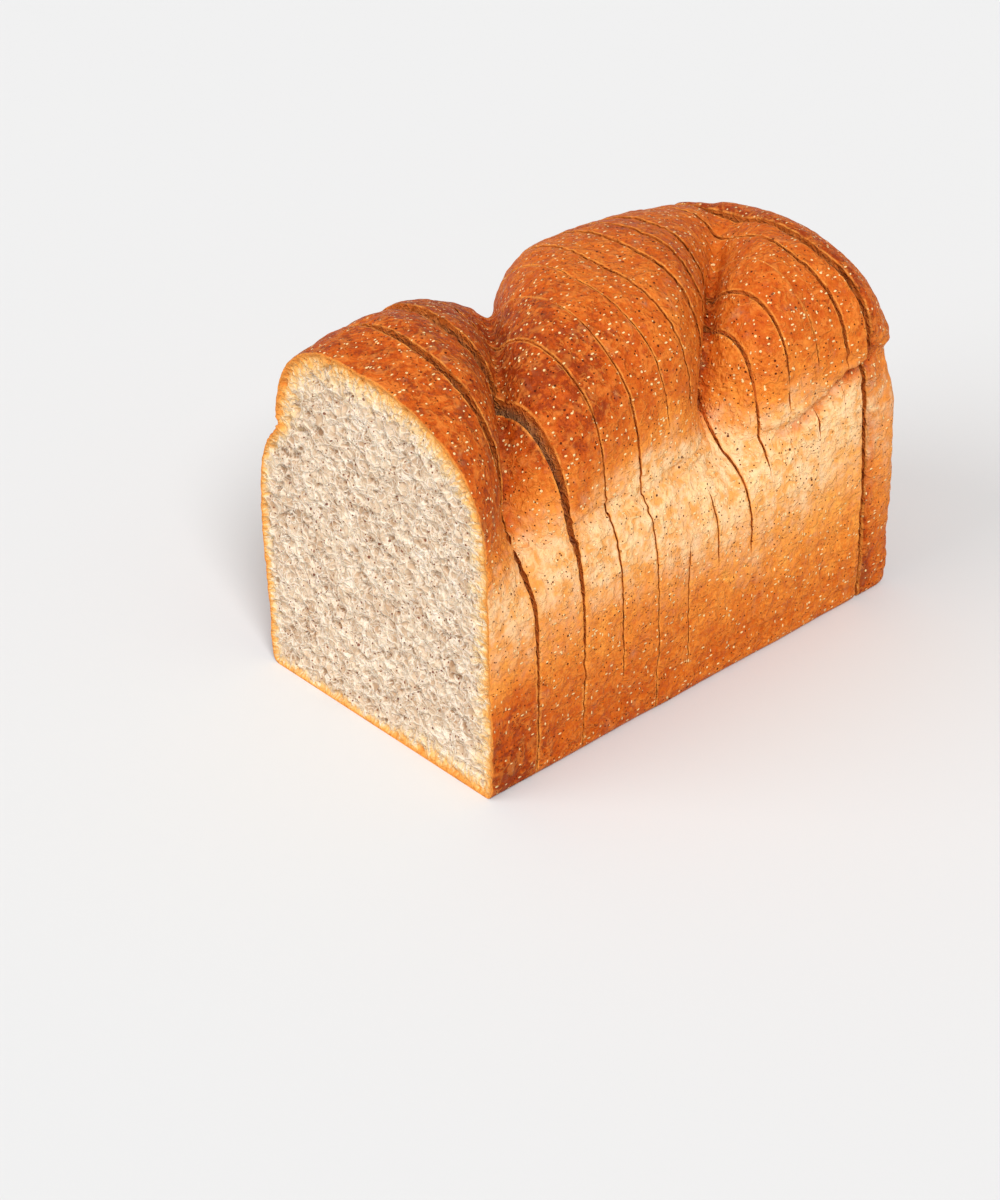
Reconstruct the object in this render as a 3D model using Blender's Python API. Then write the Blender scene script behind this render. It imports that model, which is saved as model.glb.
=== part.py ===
"""Multigrain pan loaf, cut into slices that still stand together as the whole loaf.

Metres, +Z up. The loaf lies along Y with its cut face towards -Y, and the origin is
the middle of its footprint. Each slice is a loft between outlines of the loaf.
"""
import bpy
import bmesh
import numpy as np
from mathutils import Vector, noise

# Whole loaf
LENGTH = 0.196
FRONT_Y = -LENGTH / 2
BACK_Y = LENGTH / 2

# The outlines are drawn about the pan's middle plane, which is this far left of the footprint's middle
PAN_MIDDLE_X = -0.0021

# Pan-baked lower part: half width at the base and at the fullest height of its wall
HALF_BASE = 0.060
HALF_WALL = 0.0618
LEFT_NARROWER = 0.0042
WALL_FULL_Z = 0.052
BASE_RADIUS = 0.003

# Values that change along the loaf: pairs of (y, value)
RIM_Z_RIGHT = [(-0.098, 0.074), (-0.020, 0.071), (0.020, 0.069), (0.050, 0.074), (0.080, 0.088)]
RIM_Z_LEFT = [(-0.098, 0.084), (0.0, 0.082), (0.080, 0.084)]
DOME_RIGHT = [(-0.098, 0.061), (-0.080, 0.057), (-0.010, 0.052), (0.020, 0.054),
              (0.050, 0.059), (0.080, 0.063)]
DOME_LEFT = [(-0.098, 0.046), (-0.078, 0.049), (-0.020, 0.056), (0.020, 0.054), (0.080, 0.049)]
CURL = [(-0.098, 0.0), (0.020, 0.0010), (0.080, 0.0050)]
CREST_Z = [(-0.098, 0.141), (-0.070, 0.146), (-0.035, 0.142), (0.0, 0.144), (0.030, 0.143), (0.080, 0.137)]
CREST_X = [(-0.098, -0.006), (-0.020, 0.0), (0.030, 0.005), (0.080, 0.018)]
SQUARE_RIGHT = [(-0.098, 2.5), (-0.060, 2.0), (-0.010, 3.0), (0.080, 2.3)]
SQUARE_LEFT = [(-0.098, 2.5), (-0.060, 2.2), (0.020, 2.2), (0.080, 2.5)]

# The wall leans in over the rim before the dome springs up
RIM_BELOW = 0.014
RIM_HEIGHT = 0.028

# The two deep creases between the three lobes run askew: y = start + slope * x.
# Each has the reach of its flanks to the front and the back, on the left and the right.
CREASES = [
    {"start": -0.039, "slope": -0.60, "depth": 0.020, "front": (0.034, 0.022), "back": (0.030, 0.022)},
    {"start": 0.065, "slope": -0.80, "depth": 0.024, "front": (0.034, 0.026), "back": (0.030, 0.020)},
]
CREASE_FADE_X = [(-0.060, -0.030, 1.0), (-0.018, 0.022, 0.18)]
CREASE_FADE_Z = (0.064, 0.108)
CUSP = 0.90
CREASE_BLUR = 0.0022

# Heel: radii that round off its upright corners, its crown and its bottom edge
HEEL_CORNER_RADIUS = 0.008
HEEL_CROWN_RADIUS = 0.022
HEEL_BASE_RADIUS = 0.010
AXIS_Z = 0.050

# Cuts: (y at the board, gap at the board, gap at the crest)
CUTS = [
    (-0.0770, 0.0008, 0.0044),
    (-0.0560, 0.0006, 0.0042),
    (-0.0380, 0.0006, 0.0010),
    (-0.0215, 0.0005, 0.0008),
    (-0.0065, 0.0005, 0.0008),
    (0.0070, 0.0005, 0.0008),
    (0.0225, 0.0005, 0.0012),
    (0.0335, 0.0005, 0.0010),
    (0.0445, 0.0005, 0.0012),
    (0.0570, 0.0005, 0.0009),
    (0.0690, 0.0006, 0.0016),
    (0.0790, 0.0024, 0.0036),
]
CREST_MEAN = 0.143

# How far a slice stands out of line with its neighbours
SHIFT_X = 0.0003
SHIFT_Z = 0.006

# Passes that round the corner where the dome springs from the rim
SOFTEN_PASSES = 2

# Uneven crust
LUMP_HEIGHT = 0.0011
LUMP_LENGTH = 0.024

# Steps of the outline: base corner, wall, rim, waist curl and half of the dome
CORNER_STEPS = 3
WALL_STEPS = 4
RIM_STEPS = 4
CURL_STEPS = 2
DOME_STEPS = 29
RING_SPACING = 0.0036
HEEL_RINGS = 10


def along(pairs, y):
    """Value at y of a dimension that changes along the loaf."""
    return np.interp(y, [p[0] for p in pairs], [p[1] for p in pairs])


def wall_x(z, side):
    """Half width of the pan wall at height z."""
    fullness = np.sin(np.pi / 2 * np.minimum(z / WALL_FULL_Z, 1.2))
    half = HALF_BASE + (HALF_WALL - HALF_BASE) * fullness
    return half if side > 0 else half - LEFT_NARROWER


def half_outline(y, side):
    """Points (x, z) of one side, from the base corner up to the crest."""
    rim_z = along(RIM_Z_RIGHT if side > 0 else RIM_Z_LEFT, y)
    dome_half = along(DOME_RIGHT if side > 0 else DOME_LEFT, y)
    power = 2 / along(SQUARE_RIGHT if side > 0 else SQUARE_LEFT, y)
    crest_x = along(CREST_X, y) * side
    crest_z = along(CREST_Z, y)
    curl_in = along(CURL, y)
    rim_start = rim_z - RIM_BELOW
    waist_x = dome_half - curl_in
    waist_z = rim_start + RIM_HEIGHT
    turn = np.linspace(-np.pi / 2, 0, CORNER_STEPS + 1)[:-1]
    base_x = wall_x(0, side)
    corner = [(base_x - BASE_RADIUS * (1 - np.cos(a)), BASE_RADIUS * (1 + np.sin(a))) for a in turn]
    wall = [(wall_x(z, side), z) for z in np.linspace(BASE_RADIUS, rim_start, WALL_STEPS)]
    top = wall_x(rim_start, side)
    step = np.linspace(0, np.pi / 2, RIM_STEPS + 1)[1:]
    rim = [(waist_x + (top - waist_x) * np.cos(a), rim_start + RIM_HEIGHT * np.sin(a)) for a in step]
    curl_turn = np.linspace(-np.pi / 2, 0, CURL_STEPS + 2)[1:-1]
    curl = [(waist_x + curl_in * np.cos(a), waist_z + 0.004 * (1 + np.sin(a))) for a in curl_turn]
    spring_z = waist_z + 0.004
    dome = []
    for a in np.linspace(0, np.pi / 2, DOME_STEPS + 1):
        reach = max(np.cos(a), 0.0) ** power
        rise = spring_z + (crest_z - spring_z) * np.sin(a) ** power
        dome.append((crest_x + (dome_half - crest_x) * reach, rise))
    points = np.array(corner + wall + rim + curl + dome)
    low = len(corner) + 1
    high = len(points) - DOME_STEPS + 3
    for _ in range(SOFTEN_PASSES):
        points[low:high] = (points[low - 1:high - 1] + 2 * points[low:high] + points[low + 1:high + 1]) / 4
    points[:, 0] *= side
    return points


def crease_depth(x, y):
    """How far the creases pull the crust in at a place in plan."""
    depth = np.zeros_like(x)
    deepest = 1 - np.sqrt(1 - CUSP ** 2)
    for crease, (fade_from, fade_to, least) in zip(CREASES, CREASE_FADE_X):
        across = (y - crease["start"] - crease["slope"] * x) / np.hypot(1, crease["slope"])
        rightness = smooth_step(-0.020, 0.020, x)
        ends = np.where(across < 0, crease["front"][0], crease["back"][0])
        width = ends + (np.where(across < 0, crease["front"][1], crease["back"][1]) - ends) * rightness
        near = CUSP * (1 - np.minimum(np.abs(across) / width, 1))
        fade = least + (1 - least) * smooth_step(fade_from, fade_to, x)
        depth = np.maximum(depth, crease["depth"] * fade * (1 - np.sqrt(1 - near ** 2)) / deepest)
    return depth


def smooth_step(low, high, value):
    """0 below low, 1 above high, with a smooth change between them."""
    t = np.clip((value - low) / (high - low), 0, 1)
    return t * t * (3 - 2 * t)


def round_off(distance, radius):
    """Inset of a quarter round at a distance from its end."""
    t = np.clip(1 - distance / radius, 0, 1)
    return radius * (1 - np.sqrt(1 - t * t))


def outline(y):
    """Closed outline (x, z) of the whole loaf at one place along it."""
    points = np.concatenate([half_outline(y, 1), half_outline(y, -1)[-2::-1]])
    x, z = points[:, 0], points[:, 1]
    pull = sum(crease_depth(x, y + shift) for shift in (-CREASE_BLUR, 0.0, CREASE_BLUR)) / 3
    pull = pull * smooth_step(*CREASE_FADE_Z, z)
    to_axis = np.stack([-x, 0.075 - z], 1)
    to_axis /= np.maximum(np.linalg.norm(to_axis, axis=1), 1e-6)[:, None]
    points = points + to_axis * pull[:, None]
    # the heel closes in towards its end
    distance = BACK_Y - y
    corner = round_off(distance, HEEL_CORNER_RADIUS)
    crown = round_off(distance, HEEL_CROWN_RADIUS)
    inset = corner + (crown - corner) * smooth_step(0.080, 0.125, points[:, 1])
    points[:, 0] *= 1 - inset / HALF_WALL
    high = np.maximum(points[:, 1] - AXIS_Z, 0)
    points[:, 1] -= crown * (high / (CREST_MEAN - AXIS_Z)) ** 1.2
    lift = round_off(distance, HEEL_BASE_RADIUS)
    points[:, 1] = np.maximum(points[:, 1], np.minimum(lift, 0.02))
    return points


def lump(x, y, z):
    """Outward unevenness of the crust, none at the flat base."""
    place = Vector((x, y, z)) / LUMP_LENGTH
    return LUMP_HEIGHT * noise.noise(place) * min(1, z / 0.02)


def ring(y_base, lean, shift, stretch):
    """3-D points of one section of a slice, which leans back by its height times lean."""
    points = []
    y_mid = y_base + lean * 0.07
    flat = outline(y_mid)
    for x, z in flat:
        y = y_base + lean * z
        away = Vector((x, 0, z - AXIS_Z)).normalized()
        out = lump(x, y, z)
        points.append((x + PAN_MIDDLE_X + shift + away.x * out, y, max((z + away.z * out) * stretch, 0.0)))
    for index in (0, len(points) - 1):
        points[index] = (points[index][0], points[index][1], flat[index][1])
    return points


def slice_limits():
    """Front and back of each slice, as (y at the board, lean)."""
    fronts = [(FRONT_Y, 0.0)]
    backs = []
    for y, gap, gap_top in CUTS:
        spread = (gap_top - gap) / 2 / CREST_MEAN
        backs.append((y - gap / 2, -spread))
        fronts.append((y + gap / 2, spread))
    backs.append((BACK_Y, 0.0))
    return list(zip(fronts, backs))


def ring_places(front, back, last):
    """Where the sections of one slice stand."""
    if last:
        turn = np.linspace(0, np.pi / 2, HEEL_RINGS)
        shares = np.sin(turn)
    else:
        count = max(3, int(round((back[0] - front[0]) / RING_SPACING)))
        shares = np.linspace(0, 1, count + 1)
    return [(front[0] + (back[0] - front[0]) * s, front[1] + (back[1] - front[1]) * s) for s in shares]


def crust_material(name):
    """Golden brown crust, one material for each slice."""
    material = bpy.data.materials.new(name)
    material.use_nodes = True
    shader = material.node_tree.nodes["Principled BSDF"]
    shader.inputs["Base Color"].default_value = (0.56, 0.23, 0.075, 1.0)
    shader.inputs["Roughness"].default_value = 0.55
    shader.inputs["Metallic"].default_value = 0.0
    return material


def make_slice(name, rings, collection):
    """Loft through the rings, closed by the two cut faces."""
    shape = bmesh.new()
    loops = [[shape.verts.new(point) for point in points] for points in rings]
    count = len(loops[0])
    for near, far in zip(loops, loops[1:]):
        for i in range(count):
            j = (i + 1) % count
            shape.faces.new((near[i], near[j], far[j], far[i]))
    shape.faces.new(loops[0])
    shape.faces.new(list(reversed(loops[-1])))
    bmesh.ops.recalc_face_normals(shape, faces=shape.faces)
    bmesh.ops.triangulate(shape, faces=[f for f in shape.faces if len(f.verts) > 4])
    mesh = bpy.data.meshes.new(name)
    shape.to_mesh(mesh)
    shape.free()
    mesh.shade_smooth()
    mesh.set_sharp_from_angle(angle=np.radians(50))
    mesh.materials.append(crust_material(name + "_crust"))
    piece = bpy.data.objects.new(name, mesh)
    collection.objects.link(piece)
    return piece


def build():
    """All slices, front to back, in one collection."""
    for old in list(bpy.data.objects):
        bpy.data.objects.remove(old)
    collection = bpy.data.collections.new("multigrain_loaf")
    bpy.context.scene.collection.children.link(collection)
    draw = np.random.default_rng(7)
    limits = slice_limits()
    for number, (front, back) in enumerate(limits, 1):
        last = number == len(limits)
        shift = draw.uniform(-SHIFT_X, SHIFT_X)
        stretch = 1 + draw.uniform(-SHIFT_Z, SHIFT_Z)
        places = ring_places(front, back, last)
        name = "heel_slice" if last else f"slice_{number:02d}"
        make_slice(name, [ring(y, lean, shift, stretch) for y, lean in places], collection)


build()
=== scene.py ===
"""Looks of a sliced multigrain pan loaf: each slice with its baked crust and porous crumb."""
import bpy
import numpy as np
from mathutils import Matrix, Vector, noise


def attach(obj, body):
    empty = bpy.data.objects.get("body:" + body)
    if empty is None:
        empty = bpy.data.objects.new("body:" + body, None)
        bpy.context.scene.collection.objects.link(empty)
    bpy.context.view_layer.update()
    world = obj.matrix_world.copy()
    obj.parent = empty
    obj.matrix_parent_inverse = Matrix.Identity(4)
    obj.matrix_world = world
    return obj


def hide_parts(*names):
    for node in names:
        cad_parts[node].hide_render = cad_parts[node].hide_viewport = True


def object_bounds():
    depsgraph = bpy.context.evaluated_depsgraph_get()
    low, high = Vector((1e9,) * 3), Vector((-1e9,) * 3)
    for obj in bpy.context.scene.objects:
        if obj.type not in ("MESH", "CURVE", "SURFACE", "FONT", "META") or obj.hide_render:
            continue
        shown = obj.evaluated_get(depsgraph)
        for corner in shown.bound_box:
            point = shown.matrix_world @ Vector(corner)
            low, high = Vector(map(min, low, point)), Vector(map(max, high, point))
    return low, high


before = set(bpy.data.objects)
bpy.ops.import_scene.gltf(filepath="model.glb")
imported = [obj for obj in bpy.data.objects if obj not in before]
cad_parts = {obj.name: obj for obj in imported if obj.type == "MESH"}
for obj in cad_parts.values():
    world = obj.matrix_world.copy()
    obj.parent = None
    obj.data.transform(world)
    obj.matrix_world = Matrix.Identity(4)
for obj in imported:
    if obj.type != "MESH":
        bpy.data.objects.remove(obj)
cad_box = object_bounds()

# Whole loaf, in metres, with the same values as the solids
LENGTH = 0.196
FRONT_Y = -LENGTH / 2
BACK_Y = LENGTH / 2
PAN_MIDDLE_X = -0.0021
HALF_BASE = 0.060
HALF_WALL = 0.0618
LEFT_NARROWER = 0.0042
WALL_FULL_Z = 0.052
BASE_RADIUS = 0.003

# Values that change along the loaf: pairs of (y, value)
RIM_Z_RIGHT = [(-0.098, 0.074), (-0.020, 0.071), (0.020, 0.069), (0.050, 0.074), (0.080, 0.088)]
RIM_Z_LEFT = [(-0.098, 0.084), (0.0, 0.082), (0.080, 0.084)]
DOME_RIGHT = [(-0.098, 0.061), (-0.080, 0.057), (-0.010, 0.052), (0.020, 0.054),
              (0.050, 0.059), (0.080, 0.063)]
DOME_LEFT = [(-0.098, 0.046), (-0.078, 0.049), (-0.020, 0.056), (0.020, 0.054), (0.080, 0.049)]
CURL = [(-0.098, 0.0), (0.020, 0.0010), (0.080, 0.0050)]
CREST_Z = [(-0.098, 0.141), (-0.070, 0.146), (-0.035, 0.142), (0.0, 0.144), (0.030, 0.143), (0.080, 0.137)]
CREST_X = [(-0.098, -0.006), (-0.020, 0.0), (0.030, 0.005), (0.080, 0.018)]
SQUARE_RIGHT = [(-0.098, 2.5), (-0.060, 2.0), (-0.010, 3.0), (0.080, 2.3)]
SQUARE_LEFT = [(-0.098, 2.5), (-0.060, 2.2), (0.020, 2.2), (0.080, 2.5)]

# The wall leans in over the rim before the dome springs up
RIM_BELOW = 0.014
RIM_HEIGHT = 0.028
CURL_HEIGHT = 0.004

# The two deep creases between the three lobes run askew: y = start + slope * x.
# Each has the reach of its flanks to the front and the back, on the left and the right.
CREASES = [
    {"start": -0.039, "slope": -0.60, "depth": 0.020, "front": (0.034, 0.022), "back": (0.030, 0.022)},
    {"start": 0.065, "slope": -0.80, "depth": 0.024, "front": (0.034, 0.026), "back": (0.030, 0.020)},
]
CREASE_FADE_X = [(-0.060, -0.030, 1.0), (-0.018, 0.022, 0.18)]
CREASE_FADE_Z = (0.064, 0.108)
CUSP = 0.90
CREASE_BLUR = 0.0022
CREASE_PULL_TO_Z = 0.075

# Heel: radii that round off its upright corners, its crown and its bottom edge,
# and the heights between which the corner's rounding turns into the crown's
HEEL_CORNER_RADIUS = 0.008
HEEL_CROWN_RADIUS = 0.022
HEEL_BASE_RADIUS = 0.010
HEEL_CROWN_Z = (0.080, 0.125)
HEEL_CROWN_POWER = 1.2
AXIS_Z = 0.050

# Cuts: (y at the board, gap at the board, gap at the crest)
CUTS = [
    (-0.0770, 0.0008, 0.0044),
    (-0.0560, 0.0006, 0.0042),
    (-0.0380, 0.0006, 0.0010),
    (-0.0215, 0.0005, 0.0008),
    (-0.0065, 0.0005, 0.0008),
    (0.0070, 0.0005, 0.0008),
    (0.0225, 0.0005, 0.0012),
    (0.0335, 0.0005, 0.0010),
    (0.0445, 0.0005, 0.0012),
    (0.0570, 0.0005, 0.0009),
    (0.0690, 0.0006, 0.0016),
    (0.0790, 0.0024, 0.0036),
]
CREST_MEAN = 0.143
HEEL_FRONT_Y = CUTS[-1][0] + CUTS[-1][1] / 2

# How far a slice stands out of line with its neighbours
SHIFT_X = 0.0003
SHIFT_Z = 0.006
SHIFT_SEED = 7

# Uneven crust
LUMP_HEIGHT = 0.0011
LUMP_LENGTH = 0.024
LUMP_FULL_Z = 0.020

# Where each cut gapes on the pan wall, by height; elsewhere on the wall its two sides stick together
GAPE = [(-0.01, 0.2), (-0.01, 0.2), (0.024, 0.2), (-0.01, 0.2), (0.014, 0.060), (0.050, 0.075),
        (0.048, 0.2), (0.076, 0.097), (0.095, 0.100), (0.080, 0.086), (0.2, 0.2), (-0.01, 0.2)]
GAPE_BLEND = 0.003
# The cuts are open all over the dome, which starts here
DOME_FROM_Z = 0.104
DOME_BLEND = 0.006
# Slices that stick together stand flush up to this height, and out of line on the dome
SHIFTED_FROM_Z = 0.085
# Height at which a leaning section takes its outline
LEAN_MEAN_Z = 0.070
# Share of a gap that each side takes up where the two stick together
STUCK_SHARE = 0.48
# How far the sides of the two wide front cuts lean over them on the wall and the dome, in shares of the gap
WALL_LEAN = 0.26
DOME_LEAN = 0.06
WALL_LEAN_Z = (0.055, 0.085)
# Distance that stands for no gaping cut nearby
FAR = 0.020

# Fineness of the meshes: steps of each stretch of the drawn outline, then of each mesh around and along
CORNER_STEPS = 8
WALL_STEPS = 40
RIM_STEPS = 20
CURL_STEPS = 6
DOME_STEPS = 118
SOFTEN_PASSES = 24
SOFTENED_DOME_STEPS = 12
FACE_GRID = (206, 246)
SLICE_GRID = (110, 134)
SECTION_SPACING = 0.0011
HEEL_SECTIONS = 26

# Relief of the crust: height of the wrinkles, of the torn rim and of the folds under the rear lobe,
# depth and width of the seam there and of the line in the creases, and how ragged the cuts are
WRINKLE = 0.00030
TEAR = 0.0011
TEAR_WIDTH = 0.008
FOLD = 0.0013
FOLD_WIDTH = 0.010
SEAM = 0.0028
SEAM_WIDTH = 0.0026
SEAM_BELOW_RIM = 0.004
CREASE_LINE_DEPTH = 0.0018
CREASE_LINE_WIDTH = 0.0015
RAGGED = 0.000352
WORN_EDGE = 0.00022
# The torn rim lies this far above the foot of the lobes, in a wave of this height and length
RIM_RISE = 0.016
RIM_WAVE = 0.004
RIM_WAVE_LENGTH = 0.014
# The heel: its front edge is rounded, and its end is wavy
HEEL_EDGE_RADIUS = 0.0030
HEEL_EDGE_SHARE = 0.6
END_WAVE = 0.0005
# Where the rear lobe's seam and folds begin and end along the loaf, and how far out they begin
REAR_Y = (0.030, 0.050)
REAR_END_Y = (0.084, 0.092)
REAR_X = (0.020, 0.040)

# Depth of the hollows between the strands of the open cut face
STRAND = 0.0014
# Large pores of the open cut face: (x, z, half width, half height)
LARGE_PORES = [
    (-0.0385, 0.1120, 0.0026, 0.0020), (-0.0350, 0.1040, 0.0036, 0.0024), (-0.0265, 0.1085, 0.0034, 0.0020),
    (-0.0300, 0.1185, 0.0022, 0.0012), (-0.0505, 0.0905, 0.0020, 0.0026), (-0.0270, 0.0860, 0.0016, 0.0022),
    (-0.0380, 0.0930, 0.0028, 0.0016), (-0.0120, 0.0980, 0.0022, 0.0013), (0.0060, 0.1080, 0.0018, 0.0012),
    (0.0180, 0.0900, 0.0016, 0.0020), (-0.0450, 0.1190, 0.0014, 0.0012), (-0.0060, 0.0560, 0.0018, 0.0014),
    (0.0300, 0.0500, 0.0013, 0.0021), (-0.0330, 0.0400, 0.0016, 0.0023),
]
# The other pores are drawn at random: how many, and their smallest and largest half width
PORE_SIZES = [(300, 0.0012, 0.0024), (1100, 0.0007, 0.0013)]
PORE_AREA = ((-0.065, 0.065), (0.0, 0.147))
PORE_SEED = 11
# Rings that fill a hidden face, as shares of the way to its middle line, which has these ends
FACE_DEPTHS = np.array([0.006, 0.014, 0.024, 0.038, 0.055, 0.075, 0.10, 0.14, 0.2, 0.3, 0.45, 0.65, 0.85])
MIDDLE_LINE_Z = (0.045, 0.092)
# Rim of a face without pores: from and to this distance from the crust
FACE_RIM = (0.0004, 0.0020)

# Values painted on the meshes: brownness (with painted shade along the crease lines and seam), paleness,
# mm below the crust, mm round the loop, pore and hollow depth in mm (which also sets painted shade in the
# crumb), mm to a gaping cut, and 1 on faces that lie inside the loaf (which get painted shade)
NAMES = ("brown", "pale", "below", "round", "pore", "edge", "inner")
# Edges between flat faces sharper than this are shown sharp, in degrees
SHARP_ANGLE = 62

# Pale, hardly baked band of the pan wall: its lower and upper edge and its strength along the loaf
PALE_FROM = [(-0.098, 0.056), (-0.060, 0.058), (0.0, 0.056), (0.030, 0.058), (0.080, 0.067)]
PALE_TO = [(-0.098, 0.086), (-0.080, 0.092), (-0.040, 0.096), (-0.020, 0.102), (0.0, 0.099), (0.020, 0.094),
           (0.045, 0.101), (0.062, 0.096), (0.098, 0.096)]
PALE_STRENGTH = [(-0.098, 0.86), (-0.070, 0.82), (-0.040, 0.88), (0.0, 0.98), (0.060, 1.02), (0.074, 0.94),
                 (0.082, 0.55)]
# Waves in the baking, each of (height, length, seed)
BAKE_WAVES = [(0.007, 0.022, 41.0), (0.004, 0.008, 43.0)]
# Brownness at the foot of the wall, of the front slice on top of that, how much less of it higher up
# and towards the rear, and at the upper edge of the pale band
FOOT_BROWN = 0.78
FRONT_BROWN = 0.24
WALL_LESS_BROWN = 0.34
REAR_LESS_BROWN = 0.14
RIM_BROWN = 0.44
# Heights over which the foot of the wall and the front slice's dark foot fade
FOOT_Z = (0.004, 0.052)
FRONT_FOOT_Z = (0.024, 0.052)
# Brownness added on the heel and at its front edge, painted shade added along the crease lines and the seam,
# and brownness taken off on flanks of creases
HEEL_BROWN = 0.12
HEEL_EDGE_BROWN = 0.50
HEEL_EDGE_WIDTH = 0.0028
CREASE_AND_SEAM_SHADE = 0.60
FLANK_LESS_BROWN = 0.12
# Brownness of the tops of the lobes along the loaf
CREST_BROWN = [(-0.098, 0.86), (-0.060, 0.90), (-0.035, 0.97), (-0.010, 0.78), (0.010, 0.68), (0.030, 0.82),
               (0.050, 0.79), (0.080, 0.74)]

# The photograph's camera: place, direction of view, upward direction, and lens and sensor in mm
CAMERA_PLACE = (0.87897 + PAN_MIDDLE_X, -0.80667, 0.80411)
CAMERA_LOOKS = (-0.62669, 0.54699, -0.55503)
CAMERA_UP = (-0.40118, 0.38415, 0.83156)
LENS = 120
SENSOR = 36

# Studio: lights as direction, strength and softness in degrees, then the world and the floor
KEY_LIGHT = ((0.85, -0.50, 1.0), 2.45, 20)
FILL_LIGHT = ((-0.4, -1.0, 0.7), 1.30, 50)
WORLD_STRENGTH = 0.50
FLOOR_SIZE = 12
FLOOR_TONES = (0.685, 0.69)


def along(pairs, y):
    """Value at y of a dimension that changes along the loaf."""
    return np.interp(y, [p[0] for p in pairs], [p[1] for p in pairs])


def smooth_step(low, high, value):
    """0 below low, 1 above high, with a smooth change between them."""
    t = np.clip((value - low) / (high - low), 0, 1)
    return t * t * (3 - 2 * t)


def bell(value, middle, width):
    """1 at the middle, fading to 0 over about twice the width."""
    return np.exp(-((value - middle) / width) ** 2)


def round_off(distance, radius):
    """Inset of a quarter round at a distance from its end."""
    t = np.clip(1 - distance / radius, 0, 1)
    return radius * (1 - np.sqrt(1 - t * t))


def noise_at(points, length, seed=0.0, octaves=1):
    """Smooth noise from about -1 to 1 at points (n, 3), with features about length long."""
    flat = np.asarray(points).reshape(-1, 3)
    total = np.zeros(len(flat))
    offset = Vector((seed, seed * 1.7, -seed))
    for octave in range(octaves):
        scale = 2 ** octave / length
        values = [noise.noise(Vector(p) * scale + offset) for p in flat.tolist()]
        total += np.array(values) / 2 ** octave
    return total.reshape(np.shape(points)[:-1])


def wall_x(z, side):
    """Half width of the pan wall at height z."""
    fullness = np.sin(np.pi / 2 * np.minimum(z / WALL_FULL_Z, 1.2))
    half = HALF_BASE + (HALF_WALL - HALF_BASE) * fullness
    return half if side > 0 else half - LEFT_NARROWER


def half_outline(y, side):
    """Points (x, z) of one side, from the base corner up to the crest."""
    rim_z = along(RIM_Z_RIGHT if side > 0 else RIM_Z_LEFT, y)
    dome_half = along(DOME_RIGHT if side > 0 else DOME_LEFT, y)
    power = 2 / along(SQUARE_RIGHT if side > 0 else SQUARE_LEFT, y)
    crest_x = along(CREST_X, y) * side
    crest_z = along(CREST_Z, y)
    curl_in = along(CURL, y)
    rim_start = rim_z - RIM_BELOW
    waist_x = dome_half - curl_in
    waist_z = rim_start + RIM_HEIGHT
    turn = np.linspace(-np.pi / 2, 0, CORNER_STEPS + 1)[:-1]
    base_x = wall_x(0.0, side)
    corner = np.stack([base_x - BASE_RADIUS * (1 - np.cos(turn)), BASE_RADIUS * (1 + np.sin(turn))], 1)
    wall_z = np.linspace(BASE_RADIUS, rim_start, WALL_STEPS)
    wall = np.stack([wall_x(wall_z, side), wall_z], 1)
    step = np.linspace(0, np.pi / 2, RIM_STEPS + 1)[1:]
    rim_x = waist_x + (wall_x(rim_start, side) - waist_x) * np.cos(step)
    rim = np.stack([rim_x, rim_start + RIM_HEIGHT * np.sin(step)], 1)
    turn = np.linspace(-np.pi / 2, 0, CURL_STEPS + 2)[1:-1]
    curl = np.stack([waist_x + curl_in * np.cos(turn), waist_z + CURL_HEIGHT * (1 + np.sin(turn))], 1)
    spring_z = waist_z + CURL_HEIGHT
    arc = np.linspace(0, np.pi / 2, DOME_STEPS + 1)
    reach = np.maximum(np.cos(arc), 0.0) ** power
    rise = spring_z + (crest_z - spring_z) * np.sin(arc) ** power
    dome = np.stack([crest_x + (dome_half - crest_x) * reach, rise], 1)
    points = np.concatenate([corner, wall, rim, curl, dome])
    low = len(corner) + 1
    high = len(points) - DOME_STEPS + SOFTENED_DOME_STEPS
    for _ in range(SOFTEN_PASSES):
        points[low:high] = (points[low - 1:high - 1] + 2 * points[low:high] + points[low + 1:high + 1]) / 4
    points[:, 0] *= side
    return points


def crease_depth(x, y):
    """How far the creases pull the crust in at a place in plan."""
    depth = np.zeros_like(x)
    deepest = 1 - np.sqrt(1 - CUSP ** 2)
    for crease, (fade_from, fade_to, least) in zip(CREASES, CREASE_FADE_X):
        across = (y - crease["start"] - crease["slope"] * x) / np.hypot(1, crease["slope"])
        rightness = smooth_step(-0.020, 0.020, x)
        ends = np.where(across < 0, crease["front"][0], crease["back"][0])
        width = ends + (np.where(across < 0, crease["front"][1], crease["back"][1]) - ends) * rightness
        near = CUSP * (1 - np.minimum(np.abs(across) / width, 1))
        fade = least + (1 - least) * smooth_step(fade_from, fade_to, x)
        depth = np.maximum(depth, crease["depth"] * fade * (1 - np.sqrt(1 - near ** 2)) / deepest)
    return depth


def crease_line(x, y, z):
    """1 along the bottom of the creases, where they run down the right side; y is a single value."""
    line = np.zeros_like(x)
    for crease in CREASES:
        across = (y - crease["start"] - crease["slope"] * x) / np.hypot(1, crease["slope"])
        line = np.maximum(line, bell(across, 0.0, CREASE_LINE_WIDTH))
    return line * smooth_step(0.004, 0.028, x) * smooth_step(0.086, 0.102, z)


def evenly(points, count):
    """A stretch of outline with its painted values, in count equal steps; the last point is left off."""
    walked = np.r_[0, np.cumsum(np.linalg.norm(np.diff(points[:, :2], axis=0), axis=1))]
    even = np.linspace(0, walked[-1], count + 1)[:-1]
    return np.stack([np.interp(even, walked, points[:, column]) for column in range(points.shape[1])], 1)


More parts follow.
